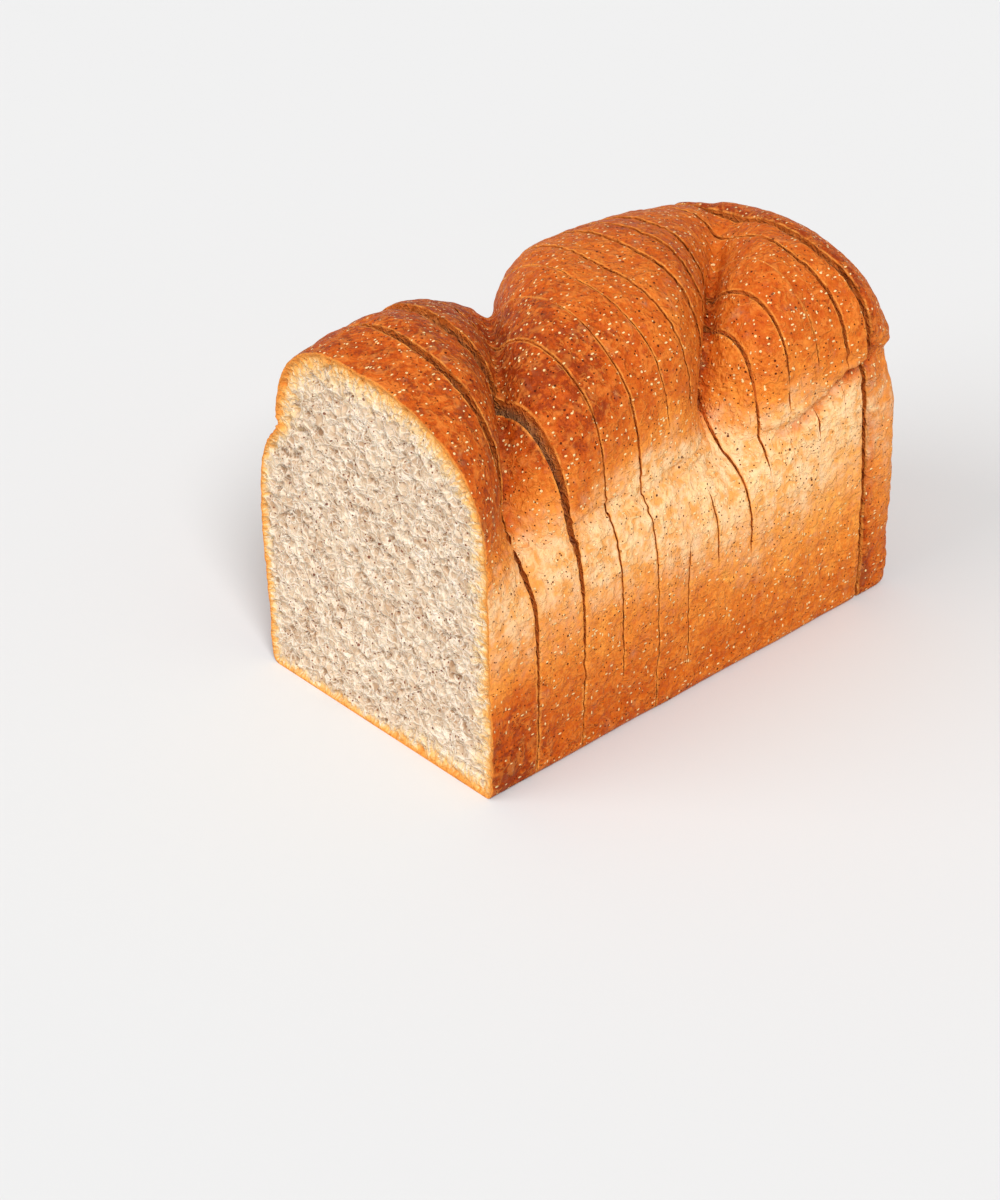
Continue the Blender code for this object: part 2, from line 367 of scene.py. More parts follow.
def outline(y, grid):
    """Closed outline at one place along the loaf: rows of x, z, depth in a crease and crease line.

    It starts at the right base corner and goes up, over the dome, down the left and back
    along the base, with grid steps across and upward.
    """
    right = half_outline(y, 1)
    left = half_outline(y, -1)[-2::-1]
    points = np.concatenate([right, left])
    x, z = points[:, 0], points[:, 1]
    pull = sum(crease_depth(x, y + shift) for shift in (-CREASE_BLUR, 0.0, CREASE_BLUR)) / 3
    pull = pull * smooth_step(*CREASE_FADE_Z, z)
    line = crease_line(x, y, z)
    to_axis = np.stack([-x, CREASE_PULL_TO_Z - z], 1)
    to_axis /= np.maximum(np.linalg.norm(to_axis, axis=1), 1e-6)[:, None]
    points = points + to_axis * pull[:, None]
    distance = BACK_Y - y
    corner = round_off(distance, HEEL_CORNER_RADIUS)
    crown = round_off(distance, HEEL_CROWN_RADIUS)
    inset = corner + (crown - corner) * smooth_step(*HEEL_CROWN_Z, points[:, 1])
    points[:, 0] *= 1 - inset / HALF_WALL
    high = np.maximum(points[:, 1] - AXIS_Z, 0)
    points[:, 1] -= crown * (high / (CREST_MEAN - AXIS_Z)) ** HEEL_CROWN_POWER
    lift = round_off(distance, HEEL_BASE_RADIUS)
    points[:, 1] = np.maximum(points[:, 1], lift)
    rows = np.column_stack([points, pull, line])
    across, upward = grid
    middle = CORNER_STEPS // 2
    shoulder = len(right) - DOME_STEPS // 2
    stretches = [rows[middle:shoulder + 1], rows[shoulder:-shoulder], rows[-shoulder - 1:len(rows) - middle],
                 np.concatenate([rows[len(rows) - middle - 1:], rows[:middle + 1]])]
    counts = (upward, across, upward, across)
    return np.concatenate([evenly(stretch, count) for stretch, count in zip(stretches, counts)])


def slice_limits():
    """Front and back of each slice, as (y at the board, lean)."""
    fronts = [(FRONT_Y, 0.0)]
    backs = []
    for y, gap, gap_top in CUTS:
        spread = (gap_top - gap) / 2 / CREST_MEAN
        backs.append((y - gap / 2, -spread))
        fronts.append((y + gap / 2, spread))
    backs.append((BACK_Y, 0.0))
    return list(zip(fronts, backs))


def section_shares(thickness, last):
    """Where the sections of one slice stand, from 0 at its front to 1 at its back, closer at the cuts."""
    edge = np.array([0.0, 0.00025, 0.0007]) / thickness
    if last:
        turn = np.linspace(0, np.pi / 2, HEEL_SECTIONS)
        return np.unique(np.r_[edge, np.sin(turn)[1:]])
    count = max(6, round(thickness / SECTION_SPACING))
    middle = np.linspace(0, 1, count)[1:-1]
    middle = middle[(middle > edge[-1] + 0.02) & (middle < 1 - edge[-1] - 0.02)]
    return np.r_[edge, middle, 1 - edge[::-1]]


def stuck(cut, z):
    """1 where the two sides of a cut stick together, 0 where it gapes; cut 0 is the first."""
    low, high = GAPE[cut]
    opened = smooth_step(low - GAPE_BLEND, low + GAPE_BLEND, z)
    shut = 1 - opened * (1 - smooth_step(high - GAPE_BLEND, high + GAPE_BLEND, z))
    return shut * (1 - smooth_step(DOME_FROM_Z - GAPE_BLEND, DOME_FROM_Z + DOME_BLEND, z))


def narrowed(cut, place):
    """How far each side of the two wide front cuts leans over it, in shares of the gap."""
    z = place[:, 2]
    if cut > 1:
        return 0 * z
    ragged = 0.5 + 0.5 * noise_at(place * np.array([1.0, 0.2, 1.0]), 0.0060, 71.0 + cut)
    most = WALL_LEAN + (DOME_LEAN - WALL_LEAN) * smooth_step(*WALL_LEAN_Z, z)
    return most * np.clip(ragged * 1.5, 0, 1)


def gap_at(cut, z):
    """Width of a cut at height z."""
    _, gap, gap_top = CUTS[cut]
    return gap + (gap_top - gap) * z / CREST_MEAN


def crust_sections(number, placed, limits, grid):
    """Crust points (sections, around, 3) of a slice, with crease depth, crease line and distance to a cut."""
    front, back = limits[number]
    last = number == len(limits) - 1
    shift, stretch = placed[number]
    before = placed[max(number - 1, 0)][0]
    after = placed[min(number + 1, len(placed) - 1)][0]
    thickness = back[0] - front[0]
    sections, pulls, lines, edges = [], [], [], []
    for share in section_shares(thickness, last):
        y_base = front[0] + thickness * share
        lean = front[1] + (back[1] - front[1]) * share
        flat = outline(y_base + lean * LEAN_MEAN_Z, grid)
        z = flat[:, 1]
        y = y_base + lean * z
        place = np.stack([flat[:, 0], y, z], 1)
        out = LUMP_HEIGHT * noise_at(place, LUMP_LENGTH) * np.minimum(1, z / LUMP_FULL_Z)
        away = np.stack([flat[:, 0], z - AXIS_Z], 1)
        away /= np.maximum(np.linalg.norm(away, axis=1), 1e-6)[:, None]
        # on the wall, neighbours that stick together stand flush
        flush = np.interp(share, [0, 0.5, 1], [(before + shift) / 2, shift, (after + shift) / 2])
        on_dome = smooth_step(SHIFTED_FROM_Z, DOME_FROM_Z, z)
        x = flat[:, 0] + PAN_MIDDLE_X + flush + (shift - flush) * on_dome + away[:, 0] * out
        height = np.maximum((z + away[:, 1] * out) * (1 + (stretch - 1) * on_dome), 0.0)
        front_shut = stuck(number - 1, z) if number > 0 else 0 * z
        back_shut = stuck(number, z) if not last else 1 + 0 * z
        to_front, to_back = share * thickness, (1 - share) * thickness
        if share == 0 and number > 0:
            y = y - np.maximum(front_shut * STUCK_SHARE, narrowed(number - 1, place)) * gap_at(number - 1, z)
        if share == 1 and not last:
            y = y + np.maximum(back_shut * STUCK_SHARE, narrowed(number, place)) * gap_at(number, z)
        edges.append(np.minimum(to_front + front_shut * FAR, to_back + back_shut * FAR))
        sections.append(np.stack([x, y, height], 1))
        pulls.append(flat[:, 2])
        lines.append(flat[:, 3])
    return np.array(sections), np.array(pulls), np.array(lines), np.array(edges)


def outward(sections):
    """Unit normals of the crust points (sections, around, 3)."""
    around = np.roll(sections, -1, axis=1) - np.roll(sections, 1, axis=1)
    lengthwise = np.gradient(sections, axis=0)
    normals = np.cross(lengthwise, around)
    normals /= np.maximum(np.linalg.norm(normals, axis=2), 1e-12)[..., None]
    middle = sections.mean(axis=(0, 1))
    return normals * np.sign(((sections - middle) * normals).sum(2).mean())


def rim_line(points):
    """Height of the rim above the pan wall, and the wave of its line."""
    x, y, _ = np.moveaxis(points, -1, 0)
    rim_z = np.where(x > 0, along(RIM_Z_RIGHT, y), along(RIM_Z_LEFT, y)) + RIM_RISE
    return rim_z, RIM_WAVE * noise_at(np.stack([0 * y, y, 0 * y], -1), RIM_WAVE_LENGTH, 5.0)


def seam_line(points):
    """1 along the pleated seam under the rear lobe on the right side."""
    x, y, z = np.moveaxis(points, -1, 0)
    rim_z, wave = rim_line(points)
    rear = smooth_step(*REAR_Y, y) * smooth_step(*REAR_X, x) * (1 - smooth_step(*REAR_END_Y, y))
    ragged = 0.7 + 0.5 * noise_at(points, 0.0080, 17.0)
    return ragged * rear * bell(z, rim_z + 0.4 * wave - SEAM_BELOW_RIM, SEAM_WIDTH)


def relief(points, normals, edge, line):
    """Crust points moved in and out: wrinkles, torn rim, seam, folds, crease line and ragged cut edges."""
    x, y, z = np.moveaxis(points, -1, 0)
    wrinkle = noise_at(points, 0.007, 3.0, 2) + 0.7 * noise_at(points, 0.0028, 9.0)
    amount = WRINKLE * wrinkle * (1 + 0.8 * (1 - smooth_step(0.03, 0.06, z)))
    rim_z, wave = rim_line(points)
    tears = noise_at(points * np.array([1, 0.55, 1.6]), 0.0060, 13.0)
    ridged = (1 - np.abs(tears) * 2.6) * bell(z, rim_z + wave, TEAR_WIDTH)
    amount += TEAR * np.maximum(ridged, -0.4) * smooth_step(0.020, 0.045, np.abs(x))
    amount -= SEAM * seam_line(points) + CREASE_LINE_DEPTH * line
    folds = noise_at(points * np.array([0.4, 1.0, 0.35]), 0.0045, 19.0)
    rear = smooth_step(*REAR_Y, y) * smooth_step(*REAR_X, x)
    amount += FOLD * folds * rear * bell(z, rim_z - SEAM_BELOW_RIM, FOLD_WIDTH)
    rounding = round_off(np.maximum(y - HEEL_FRONT_Y, 0), HEEL_EDGE_RADIUS) * (y > HEEL_FRONT_Y - 0.0005)
    amount -= rounding * HEEL_EDGE_SHARE
    amount += RAGGED * noise_at(points, 0.0030, 21.0) * np.exp(-edge / 0.0012)
    amount -= WORN_EDGE * np.exp(-edge / 0.0005)
    amount *= smooth_step(0.0, 0.006, z)
    return points + normals * amount[..., None]


def baked(points, pull, line):
    """Brownness of the crust, 0 golden to 1 dark, with painted shade along the crease lines and the seam, and
    how pale its hardly baked patches are.
    """
    x, y, z = np.moveaxis(points, -1, 0)
    warped = z + sum(height * noise_at(points, length, seed) for height, length, seed in BAKE_WAVES)
    low, high = along(PALE_FROM, y), along(PALE_TO, y)
    rear = smooth_step(-0.02, 0.06, y)
    heel = smooth_step(0.0775, 0.0795, y)
    fade = 0.022 + 0.018 * rear
    pale = smooth_step(low - fade, low + 0.020, warped)
    pale = pale * (1 - smooth_step(high - 0.012, high + 0.008, warped)) * along(PALE_STRENGTH, y)
    front = 1 - smooth_step(-0.088, -0.062, y)
    front = front * (1 - smooth_step(*FRONT_FOOT_Z, warped))
    lower = FOOT_BROWN + FRONT_BROWN * front - WALL_LESS_BROWN * smooth_step(*FOOT_Z, warped)
    lower = lower - REAR_LESS_BROWN * rear
    crest = along(CREST_BROWN, y)
    upper = RIM_BROWN + (crest - RIM_BROWN) * smooth_step(high - 0.004, high + 0.026, warped)
    brown = np.where(warped < (low + high) / 2, lower, upper)
    brown = np.where(np.abs(warped - (low + high) / 2) < 0.008, 0.5 * (lower + upper), brown)
    brown = brown + HEEL_BROWN * heel * (warped < high)
    brown = brown + HEEL_EDGE_BROWN * np.exp(-np.abs(y - HEEL_FRONT_Y) / HEEL_EDGE_WIDTH) * heel
    brown = brown - FLANK_LESS_BROWN * smooth_step(0.003, 0.012, pull) * smooth_step(0.0, 0.04, y)
    # painted shade along the bottom of the creases and in the seam: browner and less pale there
    painted_crease_shade = np.maximum(0.7 * line, seam_line(points))
    brown = brown + CREASE_AND_SEAM_SHADE * painted_crease_shade
    return np.clip(brown, 0, 1), pale * (1 - 0.7 * np.clip(painted_crease_shade, 0, 1))


def pore_list(draw, large):
    """Pores of a cut face as rows of x, z, half width, half height, turn, depth."""
    rows = [(x, z, a, b, 0.3, 0.9 * min(a, b)) for x, z, a, b in LARGE_PORES] if large else []
    for count, small, big in PORE_SIZES:
        x = draw.uniform(*PORE_AREA[0], count)
        z = draw.uniform(*PORE_AREA[1], count)
        size = small + (big - small) * draw.random(count) ** 1.8
        flat = draw.uniform(0.5, 1.0, count)
        turn = draw.uniform(0, np.pi, count)
        rows += list(zip(x, z, size, size * flat, turn, size * 0.75))
    return np.array(rows)


def pore_depth(points, pores):
    """Depth of the deepest pore at each point of a cut face."""
    warp = np.stack([noise_at(points, 0.0028, 51.0), noise_at(points, 0.0028, 57.0)], 1) * 0.0007
    x, z = points[:, 0] + warp[:, 0], points[:, 2] + warp[:, 1]
    depth = np.zeros(len(x))
    order = np.argsort(z)
    sorted_z = z[order]
    for px, pz, a, b, turn, deep in pores:
        reach = max(a, b)
        first, last = np.searchsorted(sorted_z, [pz - reach, pz + reach])
        near = order[first:last]
        near = near[np.abs(x[near] - px) < reach]
        if len(near) == 0:
            continue
        dx, dz = x[near] - px, z[near] - pz
        along_a = dx * np.cos(turn) + dz * np.sin(turn)
        along_b = dz * np.cos(turn) - dx * np.sin(turn)
        inside = 1 - (along_a / a) ** 2 - (along_b / b) ** 2
        depth[near] = np.maximum(depth[near], deep * np.sqrt(np.maximum(inside, 0)))
    return depth


def face_grid(loop, grid):
    """Points (upward + 1, across + 1, 3) that fill a closed loop of outline points."""
    across, upward = grid
    right = loop[:upward + 1]
    top = loop[upward:upward + across + 1][::-1]
    left = loop[upward + across:2 * upward + across + 1][::-1]
    bottom = np.concatenate([loop[2 * upward + across:], loop[:1]])
    u = np.linspace(0, 1, across + 1)[None, :, None]
    v = np.linspace(0, 1, upward + 1)[:, None, None]
    blend = (1 - v) * bottom[None] + v * top[None] + (1 - u) * left[:, None] + u * right[:, None]
    corners = (1 - v) * ((1 - u) * bottom[0] + u * bottom[-1]) + v * ((1 - u) * top[0] + u * top[-1])
    return blend - corners


def edge_indices(grid):
    """Place in the loop of each border point of a face grid, and -1 for the points inside."""
    across, upward = grid
    index = np.full((upward + 1, across + 1), -1)
    index[:, 0] = upward + across + np.arange(upward, -1, -1)
    index[:, across] = np.arange(upward + 1)
    index[upward, :] = upward + np.arange(across, -1, -1)
    index[0, :] = 2 * upward + across + np.arange(across + 1)
    index[0, across] = 0
    return index


def nearest_edge(points, loop):
    """Distance of points to a loop in a cut face, and how far round the loop the nearest place is."""
    walked = np.r_[0, np.cumsum(np.linalg.norm(np.diff(loop, axis=0), axis=1))]
    distance = np.empty(len(points))
    place = np.empty(len(points))
    for start in range(0, len(points), 4000):
        part = points[start:start + 4000]
        gaps = ((part[:, None, ::2] - loop[None, :, ::2]) ** 2).sum(2)
        best = gaps.argmin(1)
        distance[start:start + 4000] = np.sqrt(gaps[np.arange(len(part)), best])
        place[start:start + 4000] = walked[best]
    return distance, place


def quads_between(lower, upper):
    """Faces of the band between two closed rings of point indices."""
    return np.stack([lower, np.roll(lower, -1), np.roll(upper, -1), upper], -1).reshape(-1, 4)


class SliceMesh:
    """Gathers the points, faces and painted values of one slice."""

    def __init__(self):
        self.points, self.faces, self.kinds, self.values = [], [], [], []
        self.count = 0

    def add(self, points, **values):
        """Adds points with their values, in mm or as shares; returns their indices."""
        flat = np.clip(np.asarray(points).reshape(-1, 3), cad_box[0], cad_box[1])
        rows = np.zeros((len(flat), len(NAMES)))
        for column, name in enumerate(NAMES):
            rows[:, column] = np.ravel(values.get(name, 0.0))
        self.points.append(flat)
        self.values.append(rows)
        self.count += len(flat)
        return np.arange(self.count - len(flat), self.count).reshape(np.shape(points)[:-1])

    def cover(self, faces, kind):
        """Adds quads or one polygon of a material kind: 0 crust, 1 crumb."""
        self.faces += [tuple(face) for face in np.asarray(faces).tolist()]
        self.kinds += [kind] * len(faces)

    def build(self, name, materials):
        mesh = bpy.data.meshes.new(name)
        mesh.from_pydata(np.concatenate(self.points).tolist(), [], self.faces)
        for material in materials:
            mesh.materials.append(material)
        mesh.polygons.foreach_set("material_index", self.kinds)
        values = np.concatenate(self.values)
        for column, label in enumerate(NAMES):
            layer = mesh.attributes.new(label, "FLOAT", "POINT")
            layer.data.foreach_set("value", np.ascontiguousarray(values[:, column], dtype=np.float32))
        mesh.update()
        mesh.shade_smooth()
        mesh.set_sharp_from_angle(angle=np.radians(SHARP_ANGLE))
        piece = bpy.data.objects.new(name, mesh)
        bpy.context.scene.collection.objects.link(piece)
        return piece


def walk_round(loop):
    """Distance in mm along a closed loop to each of its points."""
    steps = np.linalg.norm(np.diff(loop, axis=0), axis=1)
    return np.r_[0, np.cumsum(steps)] * 1000


def close_face(mesh, ring, loop, kind, inward, pores):
    """Fills a hidden cut face, or the crusty end of the heel, with rings towards its middle line.

    The slice lies on the side of the face that inward says: 1 behind it, -1 in front of it.
    """
    middle_z = np.clip(loop[:, 2], *MIDDLE_LINE_Z)
    middle = np.stack([np.full(len(loop), PAN_MIDDLE_X), loop[:, 1], middle_z], 1)
    reach = np.linalg.norm((middle - loop)[:, ::2], axis=1)
    rings = loop + (middle - loop) * FACE_DEPTHS[:, None, None]
    below = FACE_DEPTHS[:, None] * reach * 1000
    if kind == 1:
        pore = pore_depth(rings.reshape(-1, 3), pores).reshape(below.shape)
        pore *= 0.6 * smooth_step(0.5, 2.0, below)
        rings[..., 1] += pore * inward
        values = {"pore": pore * 1000, "below": below, "inner": 1.0}
        values["round"] = np.broadcast_to(walk_round(loop), below.shape)
    else:
        waves = noise_at(rings, 0.012, 23.0) + 0.5 * noise_at(rings, 0.0045, 27.0)
        level = np.median(loop[:, 1]) - END_WAVE * (1 + waves)
        rings[..., 1] += (level - rings[..., 1]) * smooth_step(0.0, 7.0, below)
        brown, pale = baked(rings, 0 * below, 0 * below)
        values = {"brown": brown, "pale": pale, "edge": 20.0}
    inner_rings = mesh.add(rings, **values)
    for lower, upper in zip([ring, *inner_rings], inner_rings):
        band = quads_between(lower, upper)
        mesh.cover(band if inward > 0 else band[:, ::-1], kind)
    last = inner_rings[-1]
    mesh.cover([last if inward > 0 else last[::-1]], kind)


def open_face(mesh, ring, loop, grid, draw):
    """The front cut face that shows: a fine grid with its pores and fibres."""
    border = edge_indices(grid)
    points = face_grid(loop, grid)
    inside = border < 0
    chosen = points[inside]
    distance, place = nearest_edge(chosen, loop)
    fade = smooth_step(*FACE_RIM, distance)
    pore = pore_depth(chosen, pore_list(draw, True)) * fade
    bent = chosen + 0.0018 * np.stack([noise_at(chosen, 0.0060, 73.0 + 4 * k) for k in range(3)], 1)
    hollow = np.abs(noise_at(bent, 0.0056, 61.0)) + 0.5 * np.abs(noise_at(bent, 0.0028, 67.0))
    moved = chosen.copy()
    moved[:, 1] += pore + STRAND * np.clip(hollow * 1.4, 0, 1) * fade
    # the hollows between strands raise the pore value, which paints shade in them
    pore = pore + 0.0007 * np.clip(hollow * 1.4 - 0.30, 0, 0.7) * fade
    index = border.copy()
    index[inside] = mesh.add(moved, below=distance * 1000, round=place * 1000, pore=pore * 1000)
    index[~inside] = ring[border[~inside]]
    a, b, c, d = index[:-1, :-1], index[:-1, 1:], index[1:, 1:], index[1:, :-1]
    mesh.cover(np.stack([a, b, c, d], -1).reshape(-1, 4), 1)


def make_slice(number, placed, limits, draw, materials):
    """One slice as a closed mesh: crust and two cut faces."""
    first, last = number == 0, number == len(limits) - 1
    grid = FACE_GRID if first else SLICE_GRID
    sections, pull, line, edge = crust_sections(number, placed, limits, grid)
    normals = outward(sections)
    brown, pale = baked(sections, pull, line)
    moved = relief(sections, normals, np.clip(edge, 0, 1), line)
    moved = np.clip(moved, cad_box[0], cad_box[1])
    mesh = SliceMesh()
    values = {"brown": brown, "pale": pale, "edge": np.clip(edge * 1000, 0, 20)}
    values["round"] = np.broadcast_to(walk_round(moved[0]), brown.shape)
    rings = mesh.add(moved, **values)
    for lower, upper in zip(rings, rings[1:]):
        mesh.cover(quads_between(lower, upper)[:, ::-1], 0)
    if first:
        open_face(mesh, rings[0], moved[0], grid, draw)
    else:
        close_face(mesh, rings[0], moved[0], 1, 1, pore_list(draw, False))
    close_face(mesh, rings[-1], moved[-1], 0 if last else 1, -1, pore_list(draw, False))
    name = "heel_bread" if last else f"slice_{number + 1:02d}_bread"
    return mesh.build(name, materials)


def linear(red, green, blue):
    """Colour given in 0-255 display values, as linear RGBA."""
    values = np.array([red, green, blue]) / 255
    return tuple(np.where(values <= 0.04045, values / 12.92, ((values + 0.055) / 1.055) ** 2.4)) + (1.0,)


# Colours of the crust, as 0-255 display values: by brownness from 0 to 1, then of its details
CRUST_TONES = [(0.0, (255, 192, 110)), (0.25, (250, 166, 72)), (0.48, (229, 131, 46)),
               (0.68, (207, 102, 28)), (0.86, (190, 80, 15)), (1.0, (146, 52, 9))]
CREAM_DARK = linear(240, 166, 88)
CREAM_LIGHT = linear(252, 210, 160)
# Lighter curly strokes: partly the crust's own streaks, partly painted highlight on the raised curls
CURL_AND_HIGHLIGHT_ON_BROWN = linear(236, 142, 60)
CURL_AND_HIGHLIGHT_ON_CREAM = linear(255, 216, 156)
FLECK = linear(255, 222, 160)
BRAN = linear(84, 26, 6)
TORN_LINE = linear(246, 160, 70)
# Tint of the gloss by height: painted warm reflection from below towards the foot, near white higher up
WARM_REFLECTION_TINT_FOOT = linear(255, 176, 96)
GLOSS_TINT_TOP = linear(255, 240, 222)

# Colours of the crumb; the darker tones of its cells are partly their own and partly painted shade under the
# lighter cell walls
CELL_TONE_AND_SHADE_DARK = linear(184, 150, 118)
CELL_TONE_AND_SHADE_LIGHT = linear(218, 192, 162)
# Painted shade in the pores and in the hollows between strands
PORE_SHADE = linear(144, 106, 74)
WEB = linear(239, 220, 196)
SMALL_WEB = linear(237, 218, 194)
FIBRE = linear(249, 234, 214)
SPECK = linear(118, 56, 30)
RIM_INNER = linear(247, 210, 148)
RIM_GOLDEN = linear(233, 162, 74)
RIM_OUTER = linear(218, 130, 46)
# Painted shade of the faces inside the cuts, from near the crust to deeper in, and its lighter fibres
GAP_SHADE_OUTER = linear(190, 88, 20)
GAP_SHADE_INNER = linear(150, 96, 54)
GAP_SHADE_FIBRE = linear(236, 150, 70)


class Shade:
    """Adds and joins the shader nodes of one material."""

    def __init__(self, name):
        self.material = bpy.data.materials.new(name)
        self.material.use_nodes = True
        self.tree = self.material.node_tree
        self.shader = self.tree.nodes["Principled BSDF"]
        self.place = self.add("ShaderNodeTexCoord").outputs["Object"]

    def add(self, kind, **settings):
        node = self.tree.nodes.new(kind)
        for key, value in settings.items():
            setattr(node, key, value)
        return node

    def feed(self, socket, value):
        if isinstance(value, bpy.types.NodeSocket):
            self.tree.links.new(value, socket)
        else:
            socket.default_value = value

    def math(self, operation, a, b=0.0, c=0.0, clamp=False):
        node = self.add("ShaderNodeMath", operation=operation, use_clamp=clamp)
        self.feed(node.inputs[0], a)
        self.feed(node.inputs[1], b)
        self.feed(node.inputs[2], c)
        return node.outputs[0]

    def total(self, *terms):
        """Sum of (value, weight) pairs."""
        result = self.math("MULTIPLY", terms[0][0], terms[0][1])
        for value, weight in terms[1:]:
            result = self.math("MULTIPLY_ADD", value, weight, result)
        return result

    def range(self, value, low, high, to_low=0.0, to_high=1.0):
        node = self.add("ShaderNodeMapRange", interpolation_type="SMOOTHSTEP")
        self.feed(node.inputs["Value"], value)
        for key, number in (("From Min", low), ("From Max", high), ("To Min", to_low), ("To Max", to_high)):
            self.feed(node.inputs[key], number)
        return node.outputs["Result"]

    def mix(self, factor, a, b):
        node = self.add("ShaderNodeMix", data_type="RGBA")
        self.feed(node.inputs[0], factor)
        self.feed(node.inputs[6], a)
        self.feed(node.inputs[7], b)
        return node.outputs[2]

    def painted(self, name):
        return self.add("ShaderNodeAttribute", attribute_name=name).outputs["Fac"]

    def stretched(self, scale, turn=(0.0, 0.0, 0.0)):
        node = self.add("ShaderNodeMapping")
        self.feed(node.inputs["Vector"], self.place)
        node.inputs["Scale"].default_value = scale
        node.inputs["Rotation"].default_value = turn
        return node.outputs["Vector"]

    def noise(self, size, detail=2.0, rough=0.5, place=None, warp=0.0):
        node = self.add("ShaderNodeTexNoise")
        self.feed(node.inputs["Vector"], place or self.place)
        node.inputs["Scale"].default_value = 1 / size
        node.inputs["Detail"].default_value = detail
        node.inputs["Roughness"].default_value = rough
        node.inputs["Distortion"].default_value = warp
        return node

    def swing(self, size, detail=2.0, rough=0.6, place=None):
        """Noise about zero, from about -0.5 to 0.5."""
        return self.math("SUBTRACT", self.noise(size, detail, rough, place).outputs["Fac"], 0.5)

    def cells(self, size, feature="F1", place=None):
        node = self.add("ShaderNodeTexVoronoi", feature=feature)
        self.feed(node.inputs["Vector"], place or self.place)
        node.inputs["Scale"].default_value = 1 / size
        return node

    def warped(self, size, reach):
        """The place moved about by noise."""
        shake = self.add("ShaderNodeVectorMath", operation="SUBTRACT")
        self.feed(shake.inputs[0], self.noise(size, 1.0).outputs["Color"])
        shake.inputs[1].default_value = (0.5, 0.5, 0.5)
        scaled = self.add("ShaderNodeVectorMath", operation="SCALE")
        self.feed(scaled.inputs[0], shake.outputs[0])
        scaled.inputs["Scale"].default_value = reach
        moved = self.add("ShaderNodeVectorMath", operation="ADD")
        self.feed(moved.inputs[0], self.place)
        self.feed(moved.inputs[1], scaled.outputs[0])
        return moved.outputs[0]

    def ramp(self, value, stops):
        node = self.add("ShaderNodeValToRGB")
        self.feed(node.inputs[0], value)
        band = node.color_ramp
        while len(band.elements) < len(stops):
            band.elements.new(0.5)
        for element, (position, colour) in zip(band.elements, stops):
            element.position = position
            element.color = colour
        return node.outputs["Color"]

    def bump(self, height, strength, distance):
        node = self.add("ShaderNodeBump")
        node.inputs["Strength"].default_value = strength
        node.inputs["Distance"].default_value = distance
        self.feed(node.inputs["Height"], height)
        return node.outputs["Normal"]

    def specks(self, size, radius, share, place=None):
        """1 inside small round specks; size and radius in metres, in a share of the cells."""
        cell = self.cells(size, place=place)
        edge = radius / size
        inside = self.range(cell.outputs["Distance"], edge * 0.75, edge, 1.0, 0.0)
        pick = self.add("ShaderNodeSeparateColor")
        self.feed(pick.inputs[0], cell.outputs["Color"])
        chosen = self.math("LESS_THAN", pick.outputs[0], share)
        return self.math("MULTIPLY", inside, chosen)

    def curls(self, size, width, broken, place=None):
        """1 on short curved strokes."""
        field = self.noise(size, 1.0, 0.5, place, 0.8).outputs["Fac"]
        away = self.math("ABSOLUTE", self.math("SUBTRACT", field, 0.5))
        line = self.range(away, 0.0, width, 1.0, 0.0)
        parts = self.range(self.noise(size * 1.3, 1.0).outputs["Fac"], broken, broken + 0.09)
        return self.math("MULTIPLY", line, parts)


